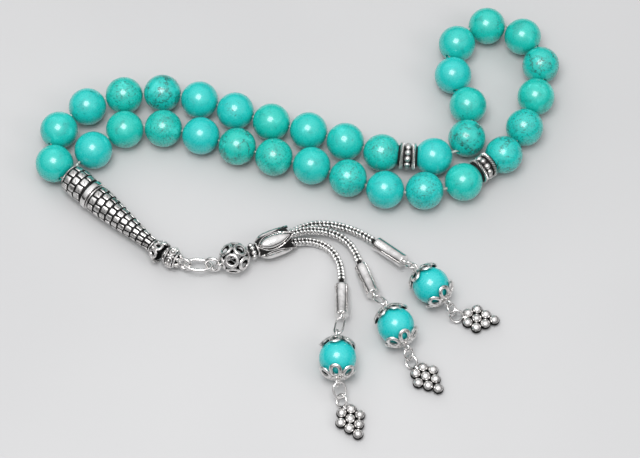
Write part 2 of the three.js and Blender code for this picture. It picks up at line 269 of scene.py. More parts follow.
@dataclass(frozen=True)
class SilverFinish(Finish):
    """Silver, from bright wire to blackened recess, darkened where a piece's patina and painted
    shade say.
    """

    colour: Colour = (0.9, 0.885, 0.875, 1.0)
    shade: Colour = (0.66, 0.645, 0.635, 1.0)
    # The near-black mixed in by the darkening, for patina and for painted shade.
    patina_and_shade: Colour = (0.012, 0.0115, 0.011, 1.0)
    roughness: tuple[float, float] = (0.13, 0.26)
    grain: float = 0.12
    metallic: float = 1.0
    specular: float = 0.5

    def paint(self, board: NodeBoard) -> None:
        """Lays out tarnish, handling marks, fine scratches, the blackened recesses and painted
        shade.
        """
        shader = board.shader
        tarnish = board.noise(0.45, 5.0, 0.6)
        scratches = board.noise(5.0, 4.0, 0.7, 1.2)
        bright = board.mixed(board.span(tarnish, 0.4, 0.7), self.colour, self.shade)
        smudge = board.span(board.noise(1.6, 4.0, 0.65), 0.3, 0.7, -0.12, 0.12)
        # Darkening from patina and painted shade, broken up by handling marks.
        dark = board.span(board.arithmetic("ADD", board.attribute("patina_and_shade"), smudge), 0.25, 0.75)
        board.link(board.mixed(dark, bright, self.patina_and_shade), shader.inputs["Base Color"])
        worn = board.span(scratches, 0.3, 0.75, *self.roughness)
        board.link(board.arithmetic("MULTIPLY_ADD", dark, 0.3, worn), shader.inputs["Roughness"])
        shader.inputs["Metallic"].default_value = self.metallic
        shader.inputs["Specular IOR Level"].default_value = self.specular
        soft = board.bump(tarnish, self.grain, 0.12)
        fine = board.bump(scratches, self.grain, 0.03, soft)
        board.link(fine, shader.inputs["Normal"])


@dataclass(frozen=True)
class StoneFinish(Finish):
    """Polished turquoise: clouded blue-green with dark spider-web matrix where a bead has it."""

    deep: Colour = (0.003, 0.3, 0.25, 1.0)
    body: Colour = (0.008, 0.46, 0.385, 1.0)
    pale: Colour = (0.055, 0.63, 0.55, 1.0)
    blue: Colour = (0.014, 0.5, 0.52, 1.0)
    speck: Colour = (0.006, 0.13, 0.11, 1.0)
    vein: Colour = (0.01, 0.03, 0.026, 1.0)

    def paint(self, board: NodeBoard) -> None:
        """Lays out clouds, pale flecks, the vein web with its stain, and the polish."""
        shader = board.shader
        clouds = board.noise(0.3, 6.0, 0.55, 0.6)
        flecks = board.noise(1.9, 4.0, 0.6)
        stone = board.ramp(clouds, [
            (0.3, self.deep), (0.45, self.body), (0.58, self.body), (0.72, self.pale)])
        tone = board.span(board.attribute("tone"), 0.0, 1.0, 0.0, 0.75)
        stone = board.mixed(tone, stone, self.blue)
        fleck = board.span(flecks, 0.58, 0.74, 0.0, 0.2)
        stone = board.mixed(fleck, stone, self.pale)
        web, stain, pepper = self.veins(board)
        stone = board.mixed(stain, stone, self.deep)
        stone = board.mixed(pepper, stone, self.speck)
        stone = board.mixed(web, stone, self.vein)
        board.link(stone, shader.inputs["Base Color"])
        board.link(board.span(flecks, 0.3, 0.7, 0.24, 0.34), shader.inputs["Roughness"])
        shader.inputs["IOR"].default_value = 1.6
        shader.inputs["Coat Weight"].default_value = 0.5
        shader.inputs["Coat Roughness"].default_value = 0.09
        pits = board.bump(board.arithmetic("SUBTRACT", 1.0, web), 0.35, 0.06)
        board.link(board.bump(clouds, 0.08, 0.2, pits), shader.inputs["Normal"])

    @staticmethod
    def veins(board: NodeBoard) -> tuple[bpy.types.NodeSocket, ...]:
        """Lays out the web of veins and the fine speckle.

        Args:
            board: The material's node tree.

        Returns:
            The strength of the dark lines, of the wider stain beside them, and of the speckle.
        """
        drift = board.noise(0.55, 5.0, 0.6).node.outputs["Color"]
        pulled = board.add("ShaderNodeVectorMath", operation="MULTIPLY_ADD")
        board.link(drift, pulled.inputs[0])
        pulled.inputs[1].default_value = (6.5, 6.5, 6.5)
        board.link(board.millimetres, pulled.inputs[2])
        cells = board.add("ShaderNodeTexVoronoi", feature="DISTANCE_TO_EDGE", Scale=0.2)
        board.link(pulled.outputs["Vector"], cells.inputs["Vector"])
        patch = board.noise(0.27, 3.0, 0.6)
        there, gritty = (
            board.span(board.arithmetic("ADD", patch, board.attribute(name)), 0.85, 1.05)
            for name in ("vein", "speckle"))
        edge = cells.outputs["Distance"]
        line = board.arithmetic("MULTIPLY", board.span(edge, 0.004, 0.04, 0.95, 0.0), there)
        halo = board.arithmetic("MULTIPLY", board.span(edge, 0.0, 0.12, 0.5, 0.0), there)
        grit = board.span(board.noise(2.1, 4.0, 0.65), 0.53, 0.62, 0.0, 0.8)
        return line, halo, board.arithmetic("MULTIPLY", grit, gritty)


@dataclass(frozen=True)
class ThreadFinish(Finish):
    """Pale twisted thread."""

    colour: Colour = (0.62, 0.68, 0.63, 1.0)
    soiled: Colour = (0.33, 0.4, 0.36, 1.0)

    def paint(self, board: NodeBoard) -> None:
        """Lays out the fibres and the soiling between the plies."""
        fibres = board.noise(6.0, 5.0, 0.7, 0.8)
        soiling = board.mixed(board.span(fibres, 0.35, 0.7), self.colour, self.soiled)
        board.link(soiling, board.shader.inputs["Base Color"])
        board.shader.inputs["Roughness"].default_value = 0.7
        board.shader.inputs["Sheen Weight"].default_value = 0.25
        board.link(board.bump(fibres, 0.5, 0.06), board.shader.inputs["Normal"])


@dataclass(frozen=True)
class StudioFinish(Finish):
    """Plain pale floor."""

    def paint(self, board: NodeBoard) -> None:
        """Lays out a faintly uneven pale sheet."""
        tint = board.span(board.noise(0.01, 2.0), 0.3, 0.7)
        board.link(board.mixed(tint, (0.46, 0.46, 0.464, 1.0), (0.48, 0.48, 0.483, 1.0)),
                   board.shader.inputs["Base Color"])
        board.shader.inputs["Roughness"].default_value = 0.5


class Silver(Enum):
    """The states of silver on the strand."""

    WIRE = SilverFinish("silver_wire")
    POLISHED = SilverFinish("silver_polished", roughness=(0.12, 0.22), grain=0.06)
    WORN = SilverFinish("silver_worn", colour=(0.9, 0.88, 0.865, 1.0),
                        shade=(0.56, 0.545, 0.535, 1.0), roughness=(0.2, 0.36), grain=0.3)
    WOVEN = SilverFinish("silver_woven", colour=(0.92, 0.91, 0.9, 1.0),
                         shade=(0.74, 0.73, 0.72, 1.0), roughness=(0.18, 0.3), grain=0.15)
    # Near-black silver: oxide in the recesses of the oxidised pieces, and painted shade as the
    # chains' core and the charms' back plate.
    BLACKENED_AND_SHADE = SilverFinish("silver_blackened_and_shade", colour=(0.016, 0.015, 0.015, 1.0),
                             shade=(0.006, 0.006, 0.006, 1.0), roughness=(0.45, 0.65), grain=0.5,
                             metallic=0.0, specular=0.18)


STONE = StoneFinish("turquoise_stone")
THREAD = ThreadFinish("pale_thread")


# ---- places and shapes ------------------------------------------------------------------------
def pointed(at: Vector, yaw: float, pitch: float = 0.0, roll: float = 0.0) -> Matrix:
    """Sets a piece down in millimetres, its own X axis along a yaw and a pitch, then rolled."""
    return Matrix.Translation(at) @ spun(yaw, "Z") @ spun(-pitch, "Y") @ spun(roll)


def shift(x: float = 0.0, y: float = 0.0, z: float = 0.0) -> Matrix:
    """Moves a shape by millimetres."""
    return Matrix.Translation((x, y, z))


def spun(degrees: float, axis: str = "X") -> Matrix:
    """Turns a shape about one of its own axes."""
    return Matrix.Rotation(math.radians(degrees), 4, axis)


def clamped(value: float) -> float:
    """Holds a value between 0 and 1."""
    return min(1.0, max(0.0, value))


def bearing(line: Vector) -> tuple[float, float]:
    """Returns the yaw and the pitch of a line, in degrees."""
    flat = math.hypot(line.x, line.y)
    return math.degrees(math.atan2(line.y, line.x)), math.degrees(math.atan2(line.z, flat))


def kept(bm: bmesh.types.BMesh) -> bpy.types.Mesh:
    """Turns a finished bmesh into a mesh that can be stamped many times."""
    mesh = bpy.data.meshes.new("shape")
    bm.to_mesh(mesh)
    bm.free()
    return mesh


def turned(outline: Outline, steps: int, closed: bool = False) -> bpy.types.Mesh:
    """Spins an outline about the X axis.

    Args:
        outline: Points as (along, radius).
        steps: Number of steps round.
        closed: Whether the outline's end is joined to its start.

    Returns:
        The shape.
    """
    bm = bmesh.new()
    verts = [bm.verts.new((along, radius, 0.0)) for along, radius in outline]
    ends = verts[1:] + verts[:1] if closed else verts[1:]
    edges = [bm.edges.new(pair) for pair in zip(verts, ends)]
    bmesh.ops.spin(bm, geom=verts + edges, cent=(0, 0, 0), axis=(1, 0, 0), dvec=(0, 0, 0),
                   angle=TURN, steps=steps, use_merge=True, use_duplicate=False)
    bmesh.ops.remove_doubles(bm, verts=bm.verts, dist=1e-4)
    bmesh.ops.recalc_face_normals(bm, faces=bm.faces)
    return kept(bm)


def arc(centre: tuple[float, float], radius: float, start: float, end: float, steps: int
        ) -> list[tuple[float, float]]:
    """Returns points of an arc in (along, radius), with its angles in degrees from the X axis."""
    angles = [math.radians(start + (end - start) * i / steps) for i in range(steps + 1)]
    return [(centre[0] + radius * math.cos(a), centre[1] + radius * math.sin(a)) for a in angles]


def wire_ring(radius: float, wire: float, steps: int = 32, sides: int = 10,
              flatness: float = 1.0) -> bpy.types.Mesh:
    """Makes a ring of wire in the XY plane.

    Args:
        radius: Radius of the wire's middle line.
        wire: Radius of the wire, across the ring's plane.
        steps: Steps round the ring.
        sides: Sides of the wire.
        flatness: Height of the wire as a part of its width.

    Returns:
        The shape.
    """
    bm = bmesh.new()
    start = shift(radius) @ spun(90) @ Matrix.Diagonal((1.0, flatness, 1.0, 1.0))
    bmesh.ops.create_circle(bm, segments=sides, radius=wire, matrix=start)
    bmesh.ops.spin(bm, geom=bm.verts[:] + bm.edges[:], cent=(0, 0, 0), axis=(0, 0, 1),
                   dvec=(0, 0, 0), angle=TURN, steps=steps, use_merge=True, use_duplicate=False)
    bmesh.ops.recalc_face_normals(bm, faces=bm.faces)
    return kept(bm)


def hoop(along: float, radius: float, wire: float, steps: int = 36) -> bpy.types.Mesh:
    """Makes a ring of wire round the X axis, at a distance along it."""
    ring = wire_ring(radius, wire, steps, 8)
    ring.transform(shift(along) @ spun(90, "Y"))
    return ring


def oval_ring(length: float, width: float, wire: float, steps: int = 36,
              roundness: float = 0.25) -> bpy.types.Mesh:
    """Makes a wire ring drawn out along X, in the XY plane.

    Args:
        length: Length between the wire's middle lines.
        width: Width between the wire's middle lines.
        wire: Radius of the wire.
        steps: Steps round the ring.
        roundness: 0 for straight sides, up to 1 for an ellipse.

    Returns:
        The shape.
    """
    def drawn_out(co: Vector) -> Vector:
        ahead = co.x / math.hypot(co.x, co.y)
        stretch = (length - width) / 2 * math.copysign(abs(ahead) ** roundness, ahead)
        return Vector((co.x + stretch, co.y, co.z))

    return bent(wire_ring(width / 2, wire, steps), drawn_out)


def granule(radius: float) -> bpy.types.Mesh:
    """Makes a small ball with few enough faces to be stamped hundreds of times."""
    bm = bmesh.new()
    bmesh.ops.create_icosphere(bm, subdivisions=2, radius=radius)
    return kept(bm)


def strand_crest() -> bpy.types.Mesh:
    """Makes the rounded crest of one strand, a unit ball to be drawn out where it is laid."""
    bm = bmesh.new()
    bmesh.ops.create_uvsphere(bm, u_segments=8, v_segments=6, radius=1.0)
    return kept(bm)


def pillow(sides: int = 16, squareness: float = 7.0) -> bpy.types.Mesh:
    """Makes a raised pad one unit across, with eased edges and a nearly flat top.

    Args:
        sides: Sides of its outline.
        squareness: 2 gives an oval outline, and more gives a squarer one.

    Returns:
        The shape, on the XY plane with Z up.
    """
    bm = bmesh.new()
    bmesh.ops.create_circle(bm, cap_ends=True, segments=sides, radius=0.5)
    power = 2 / squareness
    for vert in bm.verts:
        for axis in (0, 1):
            part = vert.co[axis] * 2
            vert.co[axis] = math.copysign(abs(part) ** power, part) / 2
    bmesh.ops.recalc_face_normals(bm, faces=bm.faces)
    top = bm.faces[:]
    if top[0].normal.z < 0:
        bmesh.ops.reverse_faces(bm, faces=top)
    wall = bmesh.ops.extrude_face_region(bm, geom=top)
    raised = [item for item in wall["geom"] if isinstance(item, bmesh.types.BMFace)]
    bmesh.ops.translate(bm, vec=(0, 0, 0.6), verts=raised[0].verts[:])
    for thickness, depth in ((0.03, 0.26), (0.06, 0.12), (0.14, 0.02)):
        bmesh.ops.inset_region(bm, faces=raised, thickness=thickness, depth=0,
                               use_even_offset=True)
        bmesh.ops.translate(bm, vec=(0, 0, depth), verts=raised[0].verts[:])
    bmesh.ops.recalc_face_normals(bm, faces=bm.faces)
    return kept(bm)


def bent(shape: bpy.types.Mesh, rule: Callable[[Vector], Vector]) -> bpy.types.Mesh:
    """Copies a shape and moves each of its points by a rule.

    Args:
        shape: The shape to copy.
        rule: Gives the new place of a point.

    Returns:
        The bent copy.
    """
    copy = shape.copy()
    for vertex in copy.vertices:
        vertex.co = rule(vertex.co.copy())
    return copy


def swept(points: Sequence[Vector], radius: float, sides: int, closed: bool = False,
          lobes: int = 0, twist: float = 0.0, up: Vector = Vector((0, 0, 1))) -> bpy.types.Mesh:
    """Draws a round or lobed section along a line of points.

    Args:
        points: The middle line.
        radius: Outer radius of the section.
        sides: Sides of the section.
        closed: Whether the line comes back to its start.
        lobes: Number of plies that the section shows, or none.
        twist: Turns of the plies in each millimetre.
        up: The direction that the section's start faces.

    Returns:
        The shape.
    """
    count = len(points)
    frames = []
    run = 0.0
    for i, point in enumerate(points):
        before = points[i - 1] if i or closed else points[0]
        after = points[(i + 1) % count] if i + 1 < count or closed else points[-1]
        ahead = (after - before).normalized()
        side = up.cross(ahead).normalized()
        run += (point - points[i - 1]).length if i else 0.0
        frame = Matrix((side, ahead.cross(side), ahead)).transposed().to_4x4()
        frame.translation = point
        frames.append(frame @ Matrix.Rotation(run * twist * TURN, 4, "Z"))
    bm = bmesh.new()
    bmesh.ops.create_circle(bm, segments=sides, radius=radius)
    for i, vert in enumerate(bm.verts):
        vert.co *= 1 - 0.22 * (0.5 - 0.5 * math.cos(lobes * i / sides * TURN)) if lobes else 1
    bmesh.ops.transform(bm, matrix=frames[0], verts=bm.verts)
    first = bm.edges[:]
    rim = first
    for previous, frame in zip(frames, frames[1:]):
        grown = bmesh.ops.extrude_edge_only(bm, edges=rim)["geom"]
        rim = [item for item in grown if isinstance(item, bmesh.types.BMEdge)]
        fresh = [item for item in grown if isinstance(item, bmesh.types.BMVert)]
        bmesh.ops.transform(bm, matrix=frame @ previous.inverted(), verts=fresh)
    if closed:
        bmesh.ops.bridge_loops(bm, edges=first + rim)
    else:
        bmesh.ops.edgeloop_fill(bm, edges=first)
        bmesh.ops.edgeloop_fill(bm, edges=rim)
    bmesh.ops.recalc_face_normals(bm, faces=bm.faces)
    return kept(bm)


def rope_ring(radius: float, rope: float, plies: int = 2, lays: int = 12,
              steps: int = 96) -> bpy.types.Mesh:
    """Makes a ring of twisted rope round the X axis.

    Args:
        radius: Radius of the rope's middle line.
        rope: Outer radius of the rope.
        plies: Number of plies.
        lays: Turns that each ply makes on its way round.
        steps: Steps round the ring.

    Returns:
        The shape.
    """
    bm = bmesh.new()
    for ply in range(plies):
        line = []
        for i in range(steps):
            angle = i / steps * TURN
            wound = angle * lays + ply / plies * TURN
            out = radius + rope * 0.5 * math.cos(wound)
            line.append(Vector((rope * 0.5 * math.sin(wound), out * math.sin(angle),
                                out * math.cos(angle))))
        bm.from_mesh(swept(line, rope * 0.56, 6, closed=True, up=Vector((1, 0, 0))))
    return kept(bm)


def around(along: float, angle: float, radius: float) -> Vector:
    """Returns a point about the X axis; an angle of nought is straight up."""
    return Vector((along, radius * math.sin(angle), radius * math.cos(angle)))


def on_sphere(radius: float, polar: float, turn: float) -> Callable[[Vector], Vector]:
    """Gives the rule that lays a flat shape on a ball.

    Args:
        radius: Radius of the ball.
        polar: Angle of the shape's middle from the ball's +X pole, in degrees.
        turn: Angle of the shape's middle round the X axis, in degrees.

    Returns:
        The rule; the shape's own X runs away from the pole and its Z outwards.
    """
    p, a = math.radians(polar), math.radians(turn)
    middle = Vector((math.cos(p), math.sin(p) * math.sin(a), math.sin(p) * math.cos(a)))
    away = Vector((-math.sin(p), math.cos(p) * math.sin(a), math.cos(p) * math.cos(a)))
    across = Vector((0, -math.cos(a), math.sin(a)))
    return lambda co: ((middle * radius + away * co.x + across * co.y).normalized()
                       * (radius + co.z))


@dataclass(frozen=True)
class Profile:
    """The outer line of a turned piece, as (along, radius) points."""

    points: tuple[tuple[float, float], ...]

    def radius(self, along: float) -> float:
        """Returns the radius at a distance along the axis."""
        for (x0, r0), (x1, r1) in zip(self.points, self.points[1:]):
            if along <= x1:
                share = max(0.0, (along - x0) / (x1 - x0))
                return r0 + share * (r1 - r0)
        return self.points[-1][1]

    def wrapping(self, along: float, turn: float) -> Callable[[Vector], Vector]:
        """Gives the rule that lays a flat shape here, its X along the axis and its Z outwards."""
        middle = self.radius(along)
        return lambda co: around(along + co.x, turn + co.y / middle,
                                 self.radius(along + co.x) + co.z)


class Piece:
    """One named piece under construction, gathered from stamped shapes."""

    def __init__(self, name: str) -> None:
        """Starts an empty piece.

        Args:
            name: The piece's name in the finished model.
        """
        self.name = name
        self.bm = bmesh.new()
        self.finishes: list[Finish] = []
        # Darkening of each point: patina in hollows and painted shade.
        self.patina_and_shade = self.bm.verts.layers.float.new("patina_and_shade")

    def add(self, shape: bpy.types.Mesh, finish: Finish | Silver, place: Matrix = Matrix(),
            patina_and_shade: PatinaAndShade | None = None) -> "Piece":
        """Stamps a copy of a shape into the piece.

        Args:
            shape: The shape, which can be used again.
            finish: Its finish.
            place: Where it goes in the piece.
            patina_and_shade: Gives the darkening, from 0 to 1, at a point of the unplaced shape, as
                patina in hollows and as painted shade.

        Returns:
            The piece itself.
        """
        finish = finish.value if isinstance(finish, Silver) else finish
        if finish not in self.finishes:
            self.finishes.append(finish)
        copy = shape.copy()
        copy.transform(place)
        faces, verts = len(self.bm.faces), len(self.bm.verts)
        self.bm.from_mesh(copy)
        self.bm.faces.ensure_lookup_table()
        self.bm.verts.ensure_lookup_table()
        for face in self.bm.faces[faces:]:
            face.material_index = self.finishes.index(finish)
            face.smooth = True
        if patina_and_shade:
            for vert, source in zip(self.bm.verts[verts:], shape.vertices):
                vert[self.patina_and_shade] = patina_and_shade(source.co)
        bpy.data.meshes.remove(copy)
        return self

    def set_down(self, place: Matrix, body: str, slot: str, replaces: Iterable[str] = (),
                 values: dict[str, float] | None = None, crease: float = 38.0
                 ) -> bpy.types.Object:
        """Finishes the piece in metres and hangs it on its body.

        Args:
            place: Where the piece goes, in millimetres.
            body: The body that it moves with.
            slot: The record's material slot; it is not used.
            replaces: The CAD nodes that it stands for.
            values: Further values that its material reads, the same all over the piece.
            crease: Angle between faces, in degrees, past which an edge is sharp.

        Returns:
            The finished object.
        """
        bmesh.ops.transform(self.bm, matrix=Matrix.Scale(MM, 4) @ place, verts=self.bm.verts)
        for key, value in (values or {}).items():
            layer = self.bm.verts.layers.float.new(key)
            for vert in self.bm.verts:
                vert[layer] = value
        mesh = bpy.data.meshes.new(self.name)
        self.bm.to_mesh(mesh)
        self.bm.free()
        mesh.set_sharp_from_angle(angle=math.radians(crease))
        for finish in self.finishes:
            mesh.materials.append(finish.material())
        obj = bpy.data.objects.new(self.name, mesh)
        bpy.context.scene.collection.objects.link(obj)
        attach(obj, body)
        for node in replaces:
            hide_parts(node)
        LOG.info("%s: %d faces on %s", self.name, len(mesh.polygons), body)
        return obj


def low_side(start: float, end: float) -> PatinaAndShade:
    """Darkens a stamped shape from one height of its own down to another, as patina in hollows and
    as painted shade.
    """
    return lambda co: clamped((start - co.z) / (start - end))


# ---- the frame's own places -------------------------------------------------------------------
class Places:
    """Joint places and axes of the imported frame, in millimetres."""

    def __init__(self, record: dict) -> None:
        """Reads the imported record's joints."""
        self.joints = {joint["name"]: joint for joint in record["behaviour"]["joints"]}

    def at(self, joint: str) -> Vector:
        """Returns the place of a joint."""
        return Vector(self.joints[joint]["pos_m"]) / MM

    def axis(self, joint: str) -> Vector:
        """Returns the direction of a joint's axis."""
        return Vector(self.joints[joint]["axis"]).normalized()

    def along(self, joint: str, roll: float = 0.0) -> Matrix:
        """Returns the place of a piece that spins on its own X axis, rolled by degrees."""
        return pointed(self.at(joint), *bearing(self.axis(joint)), roll)


# ---- the strand -------------------------------------------------------------------------------
class Matrixing(Enum):
    """How a bead's stone is marked, as its share of veins and its share of speckle."""

    CLEAR = (0.0, 0.1)
    FAINT = (0.1, 0.36)
    SPECKLED = (0.2, 0.55)
    CRACKED = (0.5, 0.42)
    PEPPERED = (0.3, 0.75)


@dataclass
class StoneBead:
    """A polished ball drilled through, with an eased mouth at each end of its hole."""

    radius: float = 5.0
    bore: float = 0.55
    mouth: float = 0.75
    steps: int = 48

    def shape(self) -> bpy.types.Mesh:
        """Returns the drilled ball, with its hole along X."""
        lip = math.degrees(math.asin(self.mouth / self.radius))
        outline = arc((0, 0), self.radius, 180 - lip, lip, 26)
        bore_half = 0.66 * self.radius
        inner = [(bore_half, self.bore), (0, self.bore), (-bore_half, self.bore)]
        return turned(outline + inner, self.steps, closed=True)


@dataclass
class Strand:
    """The turquoise beads on their thread, and the two granulated spacers among them."""

    places: Places
    body: str = "imame_and_string"
    bead: StoneBead = field(default_factory=StoneBead)
    count: int = 33
    spacer_after: tuple[int, ...] = (11, 22)
    thread: float = 0.37
    cracked: tuple[int, ...] = (5, 13, 19, 22, 29)
    peppered: tuple[int, ...] = (21, 24)
    speckled: tuple[int, ...] = (4, 11, 26, 28, 31)
    faint: tuple[int, ...] = (3, 7, 10, 14, 17, 20, 25, 32)

    def names(self) -> list[str]:
        """Returns the names of the beads and spacers in their order on the thread."""
        names = []
        for number in range(1, self.count + 1):
            names.append(f"bead_{number:02d}")
            if number in self.spacer_after:
                names.append(f"spacer_{self.spacer_after.index(number) + 1}")
        return names

    def matrixing(self, number: int) -> Matrixing:
        """Returns how a bead is marked."""
        for group, kind in ((self.cracked, Matrixing.CRACKED),
                            (self.peppered, Matrixing.PEPPERED),
                            (self.speckled, Matrixing.SPECKLED), (self.faint, Matrixing.FAINT)):
            if number in group:
                return kind
        return Matrixing.CLEAR

    def build_beads(self) -> None:
        """Makes every bead, each with its own tone and veins."""
        shape = self.bead.shape()
        chance = random.Random(33)
        for number in range(1, self.count + 1):
            name = f"bead_{number:02d}"
            piece = Piece(f"turquoise_{name}").add(shape, STONE)
            vein, speckle = self.matrixing(number).value
            piece.set_down(self.places.along(f"{name}_spin"), name, "turquoise", [name],
                           {"tone": chance.uniform(0.0, 0.6), "vein": vein,
                            "speckle": speckle})

    def thread_line(self, imame: Matrix) -> list[Vector]:
        """Works out the thread's middle line.

        Args:
            imame: The imame's place, whose head holds both ends.

        Returns:
            Points from one end in the knot, through every bead, to the other end.
        """
        corners = [imame @ Vector((5, -0.5, 0)), imame @ Vector((2.7, -0.62, 0)),
                   (imame @ Vector((0.9, -1.55, 0))).xy.to_3d() + Vector((0, 0, 4.7))]
        for name in self.names():
            centre, ahead = self.places.at(f"{name}_spin"), self.places.axis(f"{name}_spin")
            straight = 4.3 if name.startswith("bead") else 0.9
            corners += [centre - ahead * straight, centre + ahead * straight]
        for along, side, height in ((-0.75, 3.75, 5.0), (-0.1, 2.4, 4.9), (1.3, 1.25, 4.6)):
            corners.append((imame @ Vector((along, side, 0))).xy.to_3d()
                           + Vector((0, 0, height)))
        corners += [imame @ Vector((2.8, 0.62, 0)), imame @ Vector((5, 0.5, 0))]
        line = []
        for start, end in zip(corners, corners[1:]):
            steps = max(1, round((end - start).length / 0.6))
            line += [start.lerp(end, i / steps) for i in range(steps)]
        return line + [corners[-1]]

    def build_thread(self, imame: Matrix) -> None:
        """Makes the twisted thread and its knot.

        Args:
            imame: The imame's place.
        """
        line = self.thread_line(imame)
        piece = Piece("thread")
        piece.add(swept(line, self.thread, 12, lobes=3, twist=0.45), THREAD)
        knot = Matrix.Translation(imame @ Vector((5, 0, 0)))
        piece.add(granule(1.05), THREAD, knot)
        obj = piece.set_down(Matrix(), self.body, "cord", ["string"], crease=60)


@dataclass
class GranulatedSpacer:
    """A ring between two beads: granules in a blackened waist between two rope rims."""

    radius: float = 3.5
    rope: float = 0.5
    rim_at: float = 1.6
    waist: float = 2.75
    granule: float = 0.88
    count: int = 10
    strands: int = 36

    def build(self, name: str, places: Places) -> None:
        """Makes one spacer.

        Args:
            name: Its CAD node, which is its body too.
            places: The frame's places.
        """
        piece = Piece(f"granulated_{name}")
        bowl = arc((6.95, 0), 5.12, 180, 143, 6)
        face = [(x, r) for x, r in bowl if 0.95 < r < 2.9]
        outer = [(1.9, self.waist + 0.35), (1.25, self.waist + 0.2), (1.0, self.waist),
                 (-1.0, self.waist), (-1.25, self.waist + 0.2), (-1.9, self.waist + 0.35)]
        mirrored = [(-x, r) for x, r in reversed(face)]
        piece.add(turned([(1.35, 0.95)] + face + outer + mirrored + [(-1.35, 0.95)], 40,
                         closed=True), Silver.BLACKENED_AND_SHADE)
        strand = strand_crest()
        size = Matrix.Diagonal((0.66, 0.15, 0.36, 1.0))
        for side in (-1, 1):
            rim = side * self.rim_at
            piece.add(hoop(rim, self.radius - self.rope - 0.12, self.rope * 0.72, 48),
                      Silver.BLACKENED_AND_SHADE)
            lay = shift(z=self.radius - self.rope * 0.62) @ spun(side * 38, "Z") @ size
            for i in range(self.strands):
                piece.add(strand, Silver.WORN, shift(rim) @ spun(i / self.strands * 360) @ lay,
                          low_side(0.05, -0.5))
        ball = granule(self.granule)
        for i in range(self.count):
            seat = spun(i / self.count * 360) @ shift(z=self.waist - 0.02)
            piece.add(ball, Silver.WORN, seat, low_side(self.granule * 0.35, -self.granule * 0.2))
        piece.set_down(places.along(f"{name}_spin", 10), name, "oxidised_silver", [name])


